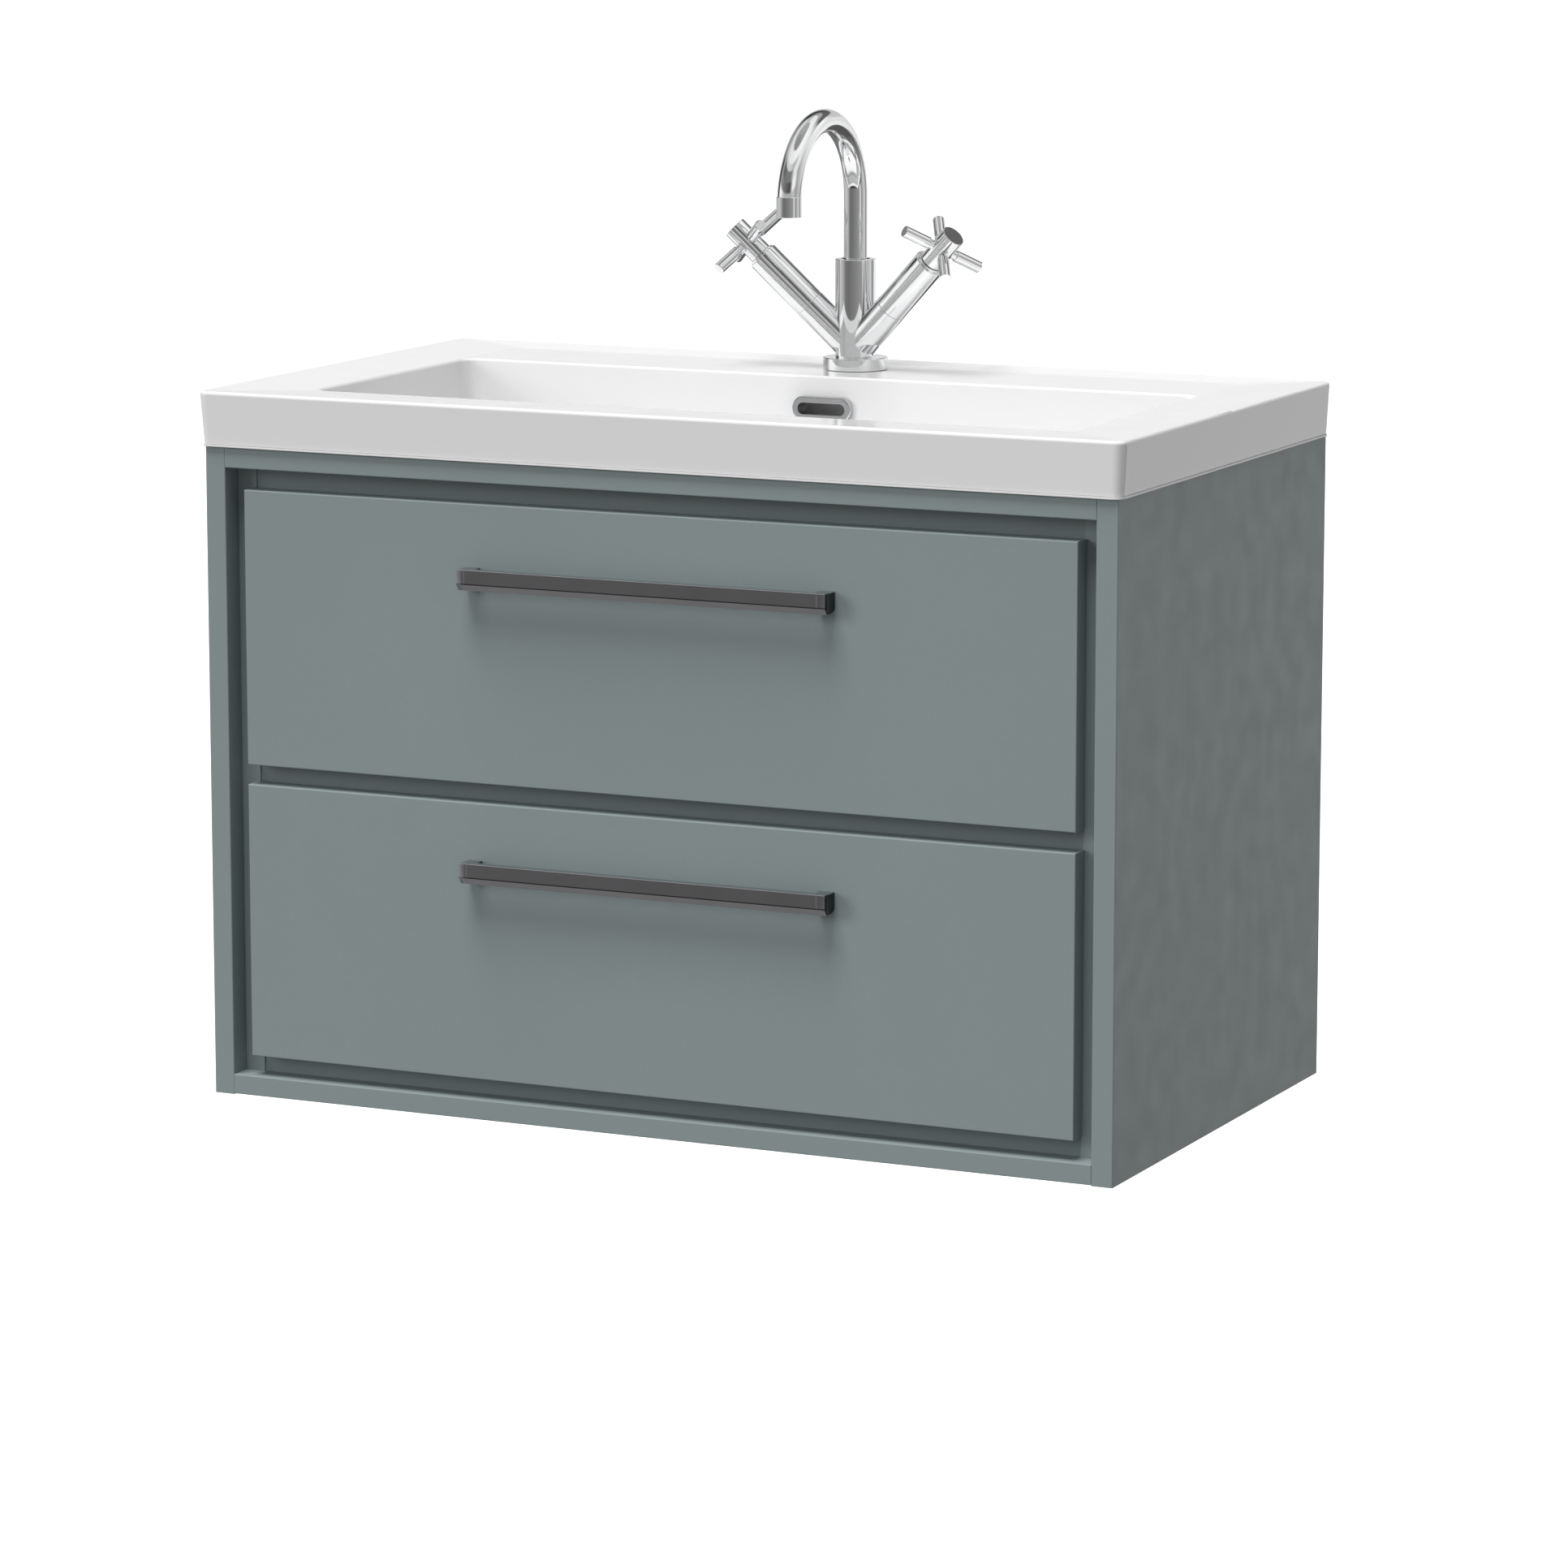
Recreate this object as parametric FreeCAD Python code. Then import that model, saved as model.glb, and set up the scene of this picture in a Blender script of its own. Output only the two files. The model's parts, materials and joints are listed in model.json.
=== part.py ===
import FreeCAD, Part
import math
import os

# ---------------------------------------------------------------------------
# Wall-hung bathroom vanity: painted cabinet with two drawers, drop-on basin,
# click-clack waste and a two-handle basin mixer.  Millimetres, +Z up, the
# front looks along -Y, the wall is the plane behind the cabinet.
# All pieces are built in a cabinet frame (X = 0 in the middle, Y = 0 at the
# front edges of the side panels, Z = 0 at the underside) and moved at export
# so that the origin is the centre of the wall-fixing hole pattern on the wall.
# ---------------------------------------------------------------------------

# --- cabinet -----------------------------------------------------------------
W = 800.0            # overall cabinet width
D = 454.0            # front edge of side panel to wall
H = 538.0            # side panel height
T_SIDE = 18.0        # side panel thickness
T_INNER = 17.5       # inner carcass side thickness (seen as stiles)
BOT_Z0, BOT_Z1 = 0.5, 17.0        # bottom panel
RAIL_Z0, RAIL_Z1 = 521.0, 537.6   # top front rail
RAIL_DEPTH = 45.0
STILE_Y = 20.8       # front plane of the inner carcass
RECESS_Y = 21.8      # front plane of the recess rails
RECESS_T = 18.0
BACK_Y0, BACK_Y1 = 418.0, 436.0   # back rails
EDGE_R = 0.9         # eased edge on visible boards

# --- drawer fronts -----------------------------------------------------------
FRONT_HALF = 366.0
FRONT_Y0, FRONT_Y1 = 2.3, 20.3
UP_Z0, UP_Z1 = 277.1, 503.4
LO_Z0, LO_Z1 = 33.6, 260.8

# --- drawer boxes ------------------------------------------------------------
SIDE_OUT = 351.8     # outer face of the drawer side
SIDE_IN = 339.3      # inner face of the drawer side
SHEET = 1.2
BOX_BACK = 400.0     # rear of the drawer box
BASE_T = 12.0
UP_BOX_Z0, UP_BOX_Z1 = 296.0, 396.0
LO_BOX_Z0, LO_BOX_Z1 = 62.0, 212.0
CUT_HALF = 85.0      # trap cut-out half width
CUT_Y = 185.0        # front of the trap cut-out
CUT_WALL = 3.0

# --- runners -----------------------------------------------------------------
RUN_Y0, RUN_Y1 = 26.0, 406.0
UP_RUN_Z = 334.0
LO_RUN_Z = 100.0

# --- bar handles -------------------------------------------------------------
BAR_HALF = 162.0
BAR_LEG = 12.0
BAR_Y = -17.0        # front of the bar
BAR_BACK = -9.0      # back of the bar
BAR_H = 17.0
UP_BAR_Z = 444.3
LO_BAR_Z = 206.0
SCREW_R = 2.0
SCREW_HOLE_R = 2.5

# --- basin -------------------------------------------------------------------
B_Z0 = 538.0         # underside of the rim
B_Z1 = 583.0         # top of the rim
DECK_Z = 580.0       # dished deck
B_HALF_TOP = 405.5
B_HALF_BOT = 402.6
B_LIP = 403.6
B_YF_TOP, B_YF_BOT, B_YF_LIP = -4.6, -1.9, -2.9
B_CORNER = 9.0
B_RIM_R = 2.6
DECK_T = 12.0
SKIRT_T = 12.0
BOWL_HALF = 335.0
BOWL_Y0, BOWL_Y1 = 65.0, 335.0
BOWL_FLOOR = 459.0
BOWL_WASTE_Z = 452.0
BOWL_R = 14.0
BOWL_WALL = 11.0
RIM_R = 2.4

# --- waste -------------------------------------------------------------------
WX, WY = 0.0, 250.0
WASTE_HOLE_R = 23.0
WASTE_R = 20.95      # G 1 1/4 thread
WASTE_BORE = 17.0
WASTE_FLANGE_R = 31.5
PLUG_R = 30.0
PLUG_TRAVEL = 8.0
TAIL_Z0, TAIL_Z1 = 350.0, 390.0

# --- overflow ----------------------------------------------------------------
OV_Z = 553.0
OV_W, OV_H = 54.0, 21.0
OV_SLOT_W, OV_SLOT_H = 43.0, 10.0

# --- tap ---------------------------------------------------------------------
TX, TY = 0.0, 397.0
TAP_HOLE_R = 17.5
GASKET_R, GASKET_T = 24.0, 0.5
TF_R, TF_H = 27.3, 10.5
COL_R = 17.1
COL_TOP = 673.0
V_Z = 596.0          # where the two arm axes meet
ARM_RISE = 44.5      # angle of the arms above level
ARM_SWEEP = 14.0     # and forwards, seen from above
ARM_R = 13.75
ARM_SEAM = 54.0
SLEEVE_R = 13.5
SLEEVE_END = 111.0
HUB_R = 10.1
HUB_L0, HUB_L1 = 112.8, 145.0
CROSS_L = 128.0
SPOKE_R = 5.0
SPOKE_TIP = 38.0
HOT_PHASE = 47.0
COLD_PHASE = 47.0
PIPE_R = 10.1
PIPE_BORE = 8.3
SPOUT_R = 66.0       # bend radius of the swan neck
SPRING_Z = 726.0     # where the bend starts
AER_Z0, AER_Z1 = 717.5, 734.5

# --- wall fixing -------------------------------------------------------------
PLATE_X = 344.0      # half the spacing of the wall plates
PLATE_HOLE_R = 4.2
PLATE_HOLE_Z = (430.0, 462.0)
ORIGIN_Y = D
ORIGIN_Z = 446.0

V = FreeCAD.Vector
parts = {}


def box(x0, x1, y0, y1, z0, z1):
    return Part.makeBox(x1 - x0, y1 - y0, z1 - z0, V(x0, y0, z0))


def cyl(p, d, r, h):
    return Part.makeCylinder(r, h, V(*p), V(*d))


def extrude_yz(points, x0, x1):
    w = Part.makePolygon([V(x0, y, z) for y, z in points] + [V(x0, *points[0])])
    return Part.Face(w).extrude(V(x1 - x0, 0, 0))


def extrude_xz(points, y0, y1):
    w = Part.makePolygon([V(x, y0, z) for x, z in points] + [V(points[0][0], y0, points[0][1])])
    return Part.Face(w).extrude(V(0, y1 - y0, 0))


def round_rect(x0, x1, y0, y1, z, r):
    """closed wire of a rectangle with rounded corners in a level plane"""
    k = r * (1 - math.sqrt(0.5))
    e = []

    def line(a, b):
        e.append(Part.LineSegment(V(*a), V(*b)).toShape())

    def arc(a, m, b):
        e.append(Part.Arc(V(*a), V(*m), V(*b)).toShape())
    line((x0 + r, y0, z), (x1 - r, y0, z))
    arc((x1 - r, y0, z), (x1 - k, y0 + k, z), (x1, y0 + r, z))
    line((x1, y0 + r, z), (x1, y1 - r, z))
    arc((x1, y1 - r, z), (x1 - k, y1 - k, z), (x1 - r, y1, z))
    line((x1 - r, y1, z), (x0 + r, y1, z))
    arc((x0 + r, y1, z), (x0 + k, y1 - k, z), (x0, y1 - r, z))
    line((x0, y1 - r, z), (x0, y0 + r, z))
    arc((x0, y0 + r, z), (x0 + k, y0 + k, z), (x0 + r, y0, z))
    return Part.Wire(e)


def loft(wires):
    return Part.makeLoft(wires, True, True)


def mirror_x(s):
    return s.mirror(V(0, 0, 0), V(1, 0, 0))


def edges_where(s, test):
    return [e for e in s.Edges if test(e)]


def fillet(s, r, test):
    ed = edges_where(s, test)
    return s.makeFillet(r, ed)


def on_plane_y(e, y, tol=1e-3):
    b = e.BoundBox
    return abs(b.YMin - y) < tol and abs(b.YMax - y) < tol


def on_plane_z(e, z, tol=1e-3):
    b = e.BoundBox
    return abs(b.ZMin - z) < tol and abs(b.ZMax - z) < tol


def obround_y(cx, cz, w, h, y0, y1):
    """slot-shaped bar along Y"""
    r = h / 2.0
    a = w / 2.0 - r
    s = box(cx - a, cx + a, y0, y1, cz - r, cz + r)
    s = s.fuse(cyl((cx - a, y0, cz), (0, 1, 0), r, y1 - y0))
    s = s.fuse(cyl((cx + a, y0, cz), (0, 1, 0), r, y1 - y0))
    return s.removeSplitter()


def compound(solids):
    return Part.makeCompound(solids)


# ===========================================================================
# cabinet boards
# ===========================================================================
side = box(-W / 2, -W / 2 + T_SIDE, 0, D, 0, H)
side = fillet(side, EDGE_R, lambda e: on_plane_y(e, 0.0) and e.BoundBox.ZLength > 100)
parts["left_side_panel"] = side
parts["right_side_panel"] = mirror_x(side)

XI = W / 2 - T_SIDE          # inner face of the side panels
XS = XI - T_INNER            # inner face of the inner panels
bottom = box(-XI, XI, 0.0, BACK_Y1, BOT_Z0, BOT_Z1)
bottom = fillet(bottom, EDGE_R, lambda e: on_plane_y(e, 0.0) and e.BoundBox.XLength > 100)
parts["bottom_panel"] = bottom

top_rail = box(-XI, XI, 0.0, RAIL_DEPTH, RAIL_Z0, RAIL_Z1)
top_rail = fillet(top_rail, EDGE_R, lambda e: on_plane_y(e, 0.0) and e.BoundBox.XLength > 100)
parts["top_front_rail"] = top_rail

inner = box(-XI, -XS, STILE_Y, BACK_Y1, BOT_Z1, RAIL_Z0)
inner = fillet(inner, 0.5, lambda e: on_plane_y(e, STILE_Y) and e.BoundBox.ZLength > 100)
parts["left_inner_panel"] = inner
parts["right_inner_panel"] = mirror_x(inner)

RY1 = RECESS_Y + RECESS_T
parts["upper_recess_rail"] = box(-XS, XS, RECESS_Y, RY1, 485.0, RAIL_Z0)
parts["middle_recess_rail"] = box(-XS, XS, RECESS_Y, RY1, 251.0, 287.0)
parts["lower_recess_rail"] = box(-XS, XS, RECESS_Y, RY1, BOT_Z1, 53.0)

back_top = box(-XS, XS, BACK_Y0, BACK_Y1, 441.0, 521.0)
for s in (-1, 1):
    x0, x1 = sorted((s * 322.0, s * (XS + 1)))
    back_top = back_top.cut(box(x0, x1, BACK_Y0 - 1, BACK_Y1 + 1, 468.0, 522.0))
parts["top_back_rail"] = back_top
parts["bottom_back_rail"] = box(-XS, XS, BACK_Y0, BACK_Y1, BOT_Z1, 97.0)

# hanging brackets: housing, steel hook and wall plate, one set each side
housing = box(-XS, -326.0, 386.0, 434.0, 470.0, 516.0)
housing = fillet(housing, 2.0, lambda e: e.BoundBox.YLength > 40 and e.BoundBox.XMin > -XS + 1)
slot = box(-353.0, -335.0, 400.0, 435.0, 487.5, 492.5)
housing = housing.cut(slot)
parts["cabinet_hangers"] = compound([housing, mirror_x(housing)])
hook = extrude_yz([(402.0, 488.0), (446.0, 488.0), (446.0, 479.0), (449.5, 479.0),
                   (449.5, 492.0), (402.0, 492.0)], -352.5, -335.5)
parts["hanger_hooks"] = compound([hook, mirror_x(hook)])
plate = extrude_yz([(D, 418.0), (D, 504.0), (451.0, 504.0), (451.0, 479.0), (444.5, 479.0),
                    (444.5, 486.0), (441.5, 486.0), (441.5, 476.0), (451.0, 476.0), (451.0, 418.0)],
                   -PLATE_X - 15.0, -PLATE_X + 15.0)
for z in PLATE_HOLE_Z:
    plate = plate.cut(cyl((-PLATE_X, 440.0, z), (0, 1, 0), PLATE_HOLE_R, 30.0))
parts["wall_plates"] = compound([plate, mirror_x(plate)])


# ===========================================================================
# drawer runners: three nested steel channels on each side
# ===========================================================================
def channel(x_web, t, x_tip, half, zc, y0, y1):
    """C section, web at x_web, flanges reaching x_tip (either direction)"""
    s = 1.0 if x_tip > x_web else -1.0
    xi = x_web + s * t
    pts = [(x_web, zc - half), (x_tip, zc - half), (x_tip, zc - half + t), (xi, zc - half + t),
           (xi, zc + half - t), (x_tip, zc + half - t), (x_tip, zc + half), (x_web, zc + half)]
    return extrude_xz(pts, y0, y1)


def runner_set(zc):
    fixed = channel(-XS, SHEET, -354.6, 22.5, zc, RUN_Y0, RUN_Y1)
    mid = channel(-361.4, SHEET, -354.0, 18.6, zc, RUN_Y0, RUN_Y1)
    cages = [box(-361.0, -356.0, RUN_Y0 + 6, RUN_Y1 - 6, zc + 18.6, zc + 20.9),
             box(-361.0, -356.0, RUN_Y0 + 6, RUN_Y1 - 6, zc - 20.9, zc - 18.6),
             box(-358.8, -354.6, RUN_Y0 + 6, RUN_Y1 - 6, zc + 13.6, zc + 17.4),
             box(-358.8, -354.6, RUN_Y0 + 6, RUN_Y1 - 6, zc - 17.4, zc - 13.6)]
    for cage in cages:
        mid = mid.fuse(cage)
    mid = mid.removeSplitter()
    moving = channel(-SIDE_OUT, SHEET, -358.4, 13.2, zc, RUN_Y0, RUN_Y1)
    return fixed, mid, moving


for name, zc in (("upper", UP_RUN_Z), ("lower", LO_RUN_Z)):
    fixed, mid, moving = runner_set(zc)
    parts[name + "_cabinet_runners"] = compound([fixed, mirror_x(fixed)])
    parts[name + "_middle_runners"] = compound([mid, mirror_x(mid)])
    parts[name + "_drawer_runners"] = compound([moving, mirror_x(moving)])


# ===========================================================================
# drawers
# ===========================================================================
def drawer_front(z0, z1, zbar):
    s = box(-FRONT_HALF, FRONT_HALF, FRONT_Y0, FRONT_Y1, z0, z1)
    s = fillet(s, EDGE_R, lambda e: on_plane_y(e, FRONT_Y0))
    for sx in (-1, 1):
        s = s.cut(cyl((sx * (BAR_HALF - BAR_LEG / 2), FRONT_Y0 - 1, zbar), (0, 1, 0),
                      SCREW_HOLE_R, FRONT_Y1 - FRONT_Y0 + 2))
    return s


def drawer_side(z0, z1):
    """folded steel side, open underneath: outer wall, top and inner wall"""
    xo, xi, t = -SIDE_OUT, -SIDE_IN, SHEET
    pts = [(xo, z0), (xo + t, z0), (xo + t, z1 - t), (xi - t, z1 - t), (xi - t, z0), (xi, z0),
           (xi, z1), (xo, z1)]
    s = extrude_xz(pts, FRONT_Y1, BOX_BACK)
    return fillet(s, 0.8, lambda e: on_plane_z(e, z1) and e.BoundBox.YLength > 100)


def bar_handle(zc):
    """bar with a bevelled lower front edge and a solid leg at each end"""
    z0, z1 = zc - BAR_H / 2, zc + BAR_H / 2
    bar = extrude_yz([(BAR_Y, z0 + 5.2), (BAR_Y + 4.2, z0), (BAR_BACK, z0), (BAR_BACK, z1),
                      (BAR_Y + 1.0, z1), (BAR_Y, z1 - 1.2)], -BAR_HALF, BAR_HALF)
    s = bar
    for sx in (-1, 1):
        x0, x1 = sorted((sx * BAR_HALF, sx * (BAR_HALF - BAR_LEG)))
        leg = extrude_yz([(BAR_Y + 0.2, z0 + 5.6), (BAR_Y + 4.4, z0), (FRONT_Y0 - 6.5, z0),
                          (FRONT_Y0 - 1.6, z0 + 1.6), (FRONT_Y0, z0 + 3.4), (FRONT_Y0, z1),
                          (BAR_Y + 1.2, z1), (BAR_Y + 0.2, z1 - 1.2)], x0, x1)
        s = s.fuse(leg)
    s = s.removeSplitter()
    for sx in (-1, 1):
        s = s.cut(cyl((sx * (BAR_HALF - BAR_LEG / 2), FRONT_Y0 + 1, zc), (0, -1, 0), SCREW_R, 13.0))
    return s


def handle_screws(zc):
    out = []
    for sx in (-1, 1):
        x = sx * (BAR_HALF - BAR_LEG / 2)
        shank = cyl((x, FRONT_Y0 - 10.0, zc), (0, 1, 0), SCREW_R, FRONT_Y1 - FRONT_Y0 + 11.0)
        head = cyl((x, FRONT_Y1, zc), (0, 1, 0), 4.2, 2.2)
        head = head.makeFillet(0.8, [e for e in head.Edges if on_plane_y(e, FRONT_Y1 + 2.2)])
        s = shank.fuse(head).removeSplitter()
        s = s.cut(box(x - 3.2, x + 3.2, FRONT_Y1 + 1.2, FRONT_Y1 + 3, zc - 0.5, zc + 0.5))
        s = s.cut(box(x - 0.5, x + 0.5, FRONT_Y1 + 1.2, FRONT_Y1 + 3, zc - 3.2, zc + 3.2))
        out.append(s)
    return compound(out)


# upper drawer, with a U-shaped cut-out so that it closes around the trap
parts["upper_drawer_front"] = drawer_front(UP_Z0, UP_Z1, UP_BAR_Z)
ls = drawer_side(UP_BOX_Z0, UP_BOX_Z1)
parts["upper_drawer_left_side"] = ls
parts["upper_drawer_right_side"] = mirror_x(ls)
base = box(-SIDE_IN, SIDE_IN, FRONT_Y1, BOX_BACK, UP_BOX_Z0, UP_BOX_Z0 + BASE_T)
base = base.cut(box(-CUT_HALF, CUT_HALF, CUT_Y, BOX_BACK + 1, UP_BOX_Z0 - 1, UP_BOX_Z0 + BASE_T + 1))
parts["upper_drawer_base"] = base
bz0 = UP_BOX_Z0 + BASE_T
back_l = box(-SIDE_IN, -CUT_HALF - CUT_WALL, BOX_BACK - BASE_T, BOX_BACK, bz0, UP_BOX_Z1)
parts["upper_drawer_back"] = compound([back_l, mirror_x(back_l)])
sur = box(-CUT_HALF - CUT_WALL, CUT_HALF + CUT_WALL, CUT_Y - CUT_WALL, BOX_BACK, bz0, UP_BOX_Z1)
sur = sur.cut(box(-CUT_HALF, CUT_HALF, CUT_Y, BOX_BACK + 1, bz0 - 1, UP_BOX_Z1 + 1))
sur = fillet(sur, 2.5, lambda e: e.BoundBox.ZLength > 50 and abs(e.BoundBox.YMin - (CUT_Y - CUT_WALL)) < 0.01)
parts["trap_cutout_surround"] = sur
parts["upper_bar_handle"] = bar_handle(UP_BAR_Z)
parts["upper_handle_screws"] = handle_screws(UP_BAR_Z)

# lower drawer, full box
parts["lower_drawer_front"] = drawer_front(LO_Z0, LO_Z1, LO_BAR_Z)
ls = drawer_side(LO_BOX_Z0, LO_BOX_Z1)
parts["lower_drawer_left_side"] = ls
parts["lower_drawer_right_side"] = mirror_x(ls)
parts["lower_drawer_base"] = box(-SIDE_IN, SIDE_IN, FRONT_Y1, BOX_BACK, LO_BOX_Z0, LO_BOX_Z0 + BASE_T)
parts["lower_drawer_back"] = box(-SIDE_IN, SIDE_IN, BOX_BACK - BASE_T, BOX_BACK,
                                 LO_BOX_Z0 + BASE_T, LO_BOX_Z1)
parts["lower_bar_handle"] = bar_handle(LO_BAR_Z)
parts["lower_handle_screws"] = handle_screws(LO_BAR_Z)


# ===========================================================================
# basin
# ===========================================================================
B_YB = D                       # the basin stands against the wall
skirt = loft([round_rect(-B_HALF_BOT, B_HALF_BOT, B_YF_BOT, B_YB, B_Z0 + 2.0, B_CORNER - 1.5),
              round_rect(-B_HALF_TOP, B_HALF_TOP, B_YF_TOP, B_YB, B_Z1, B_CORNER)])
skirt = fillet(skirt, B_RIM_R, lambda e: on_plane_z(e, B_Z1))
lip = Part.Face(round_rect(-B_LIP, B_LIP, B_YF_LIP, B_YB, B_Z0, B_CORNER - 1)).extrude(V(0, 0, 1.5))
neck = Part.Face(round_rect(-B_HALF_BOT + 0.5, B_HALF_BOT - 0.5, B_YF_BOT + 0.5, B_YB, B_Z0 + 1.5,
                            B_CORNER - 2)).extrude(V(0, 0, 0.5))
shell = skirt.fuse(lip).fuse(neck)
under = box(-B_HALF_BOT + SKIRT_T, B_HALF_BOT - SKIRT_T, B_YF_BOT + SKIRT_T, B_YB - SKIRT_T,
            B_Z0 - 1, DECK_Z - DECK_T)
shell = shell.cut(under)

bo = BOWL_WALL
bowl_out = loft([round_rect(-BOWL_HALF - bo, BOWL_HALF + bo, BOWL_Y0 - bo, BOWL_Y1 + bo,
                            DECK_Z - DECK_T + 1, BOWL_R + bo),
                 round_rect(-BOWL_HALF - bo + 9, BOWL_HALF + bo - 9, BOWL_Y0 - bo + 9, BOWL_Y1 + bo - 9,
                            BOWL_WASTE_Z - 10, BOWL_R + bo)])
bowl_out = fillet(bowl_out, 14.0, lambda e: on_plane_z(e, BOWL_WASTE_Z - 10))
boss = cyl((WX, WY, 426.0), (0, 0, 1), 36.0, 25.0)
duct = box(-34.0, 34.0, 320.0, 366.0, 436.0, DECK_Z - DECK_T + 1)
duct = duct.fuse(box(-30.0, 30.0, WY, 366.0, 430.0, BOWL_WASTE_Z - 4))
basin = shell.fuse(bowl_out).fuse(boss).fuse(duct)

bowl_in = loft([round_rect(-BOWL_HALF - 0.5, BOWL_HALF + 0.5, BOWL_Y0 - 0.5, BOWL_Y1 + 0.5,
                           DECK_Z + 8, BOWL_R),
                round_rect(-BOWL_HALF + 8, BOWL_HALF - 8, BOWL_Y0 + 8, BOWL_Y1 - 8,
                           BOWL_FLOOR, BOWL_R)])
bowl_in = fillet(bowl_in, 13.0, lambda e: on_plane_z(e, BOWL_FLOOR))
fall = loft([Part.makePolygon([V(-BOWL_HALF + 24, BOWL_Y0 + 24, BOWL_FLOOR + 0.01),
                               V(BOWL_HALF - 24, BOWL_Y0 + 24, BOWL_FLOOR + 0.01),
                               V(BOWL_HALF - 24, BOWL_Y1 - 24, BOWL_FLOOR + 0.01),
                               V(-BOWL_HALF + 24, BOWL_Y1 - 24, BOWL_FLOOR + 0.01),
                               V(-BOWL_HALF + 24, BOWL_Y0 + 24, BOWL_FLOOR + 0.01)]),
             Part.makePolygon([V(WX - 34, WY - 34, BOWL_WASTE_Z), V(WX + 34, WY - 34, BOWL_WASTE_Z),
                               V(WX + 34, WY + 34, BOWL_WASTE_Z), V(WX - 34, WY + 34, BOWL_WASTE_Z),
                               V(WX - 34, WY - 34, BOWL_WASTE_Z)])])
dish = loft([Part.makePolygon([V(-BOWL_HALF - 3, BOWL_Y0 - 3, DECK_Z), V(BOWL_HALF + 3, BOWL_Y0 - 3, DECK_Z),
                               V(BOWL_HALF + 3, 440.0, DECK_Z), V(-BOWL_HALF - 3, 440.0, DECK_Z),
                               V(-BOWL_HALF - 3, BOWL_Y0 - 3, DECK_Z)]),
             Part.makePolygon([V(-B_HALF_TOP + 3.4, B_YF_TOP + 3.4, B_Z1 + 0.01),
                               V(B_HALF_TOP - 3.4, B_YF_TOP + 3.4, B_Z1 + 0.01),
                               V(B_HALF_TOP - 3.4, B_YB - 3.4, B_Z1 + 0.01),
                               V(-B_HALF_TOP + 3.4, B_YB - 3.4, B_Z1 + 0.01),
                               V(-B_HALF_TOP + 3.4, B_YF_TOP + 3.4, B_Z1 + 0.01)])])
basin = basin.cut(dish).cut(bowl_in).cut(fall)
basin = basin.cut(cyl((WX, WY, 420.0), (0, 0, 1), WASTE_HOLE_R, 60.0))
basin = basin.cut(cyl((WX, WY, BOWL_WASTE_Z - 2.5), (0, 0, 1), WASTE_FLANGE_R + 0.6, 10.0))
basin = basin.cut(cyl((TX, TY, 560.0), (0, 0, 1), TAP_HOLE_R, 40.0))
# overflow: slot in the back wall, down the duct, into the waste hole
basin = basin.cut(obround_y(0.0, OV_Z, OV_SLOT_W + 3, OV_SLOT_H + 3, 320.0, 350.0))
basin = basin.cut(box(-26.0, 26.0, 345.0, 359.0, 436.0, OV_Z + 6.5))
basin = basin.cut(box(-18.0, 18.0, WY + 12.0, 359.0, 434.5, 442.0))
rim = edges_where(basin, lambda e: on_plane_z(e, DECK_Z, 0.02)
                  and abs(e.BoundBox.Center.x) <= BOWL_HALF + 1
                  and BOWL_Y0 - 1.5 < e.BoundBox.YMin and e.BoundBox.YMax < BOWL_Y1 + 1.5)
try:
    basin = basin.makeFillet(RIM_R, rim)
except Exception as err:
    print("rim fillet left out:", err)
parts["basin"] = basin

# overflow trim ring, its back follows the drafted wall
ring = obround_y(0.0, OV_Z, OV_W, OV_H, 327.6, 334.4)
ring = ring.makeFillet(1.6, [e for e in ring.Edges if on_plane_y(e, 327.6)])
liner = obround_y(0.0, OV_Z, OV_SLOT_W + 2.6, OV_SLOT_H + 2.6, 330.0, 343.0)
ring = ring.fuse(liner).removeSplitter()
ring = ring.cut(obround_y(0.0, OV_Z, OV_SLOT_W, OV_SLOT_H, 320.0, 350.0))
ring = ring.cut(basin)
ring = max(ring.Solids, key=lambda q: q.Volume)
parts["overflow_ring"] = ring

# ===========================================================================
# waste
# ===========================================================================
fz = BOWL_WASTE_Z - 2.5
w_body = cyl((WX, WY, fz), (0, 0, 1), WASTE_FLANGE_R, 2.5)
w_body = w_body.makeFillet(1.0, [e for e in w_body.Edges if on_plane_z(e, fz + 2.5)])
w_body = w_body.fuse(cyl((WX, WY, TAIL_Z1), (0, 0, 1), WASTE_R - 0.45, fz - TAIL_Z1))
w_body = w_body.fuse(cyl((WX, WY, TAIL_Z0), (0, 0, 1), WASTE_R, TAIL_Z1 - TAIL_Z0))
w_body = w_body.cut(cyl((WX, WY, TAIL_Z0 - 1), (0, 0, 1), WASTE_BORE, fz - TAIL_Z0 + 10))
bridge = box(WX - WASTE_BORE - 1, WX + WASTE_BORE + 1, WY - 2.0, WY + 2.0, 402.0, 408.0)
bridge = bridge.fuse(cyl((WX, WY, 402.0), (0, 0, 1), 7.0, 6.0))
w_body = w_body.fuse(bridge).cut(cyl((WX, WY, 400.0), (0, 0, 1), 4.06, 12.0))
for a in (0, 90, 180, 270):
    sl = box(WX - 5.0, WX + 5.0, WY + 10, WY + 25, 433.0, 442.0)
    sl.rotate(V(WX, WY, 0), V(0, 0, 1), a)
    w_body = w_body.cut(sl)
parts["waste_body"] = w_body.removeSplitter()

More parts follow.
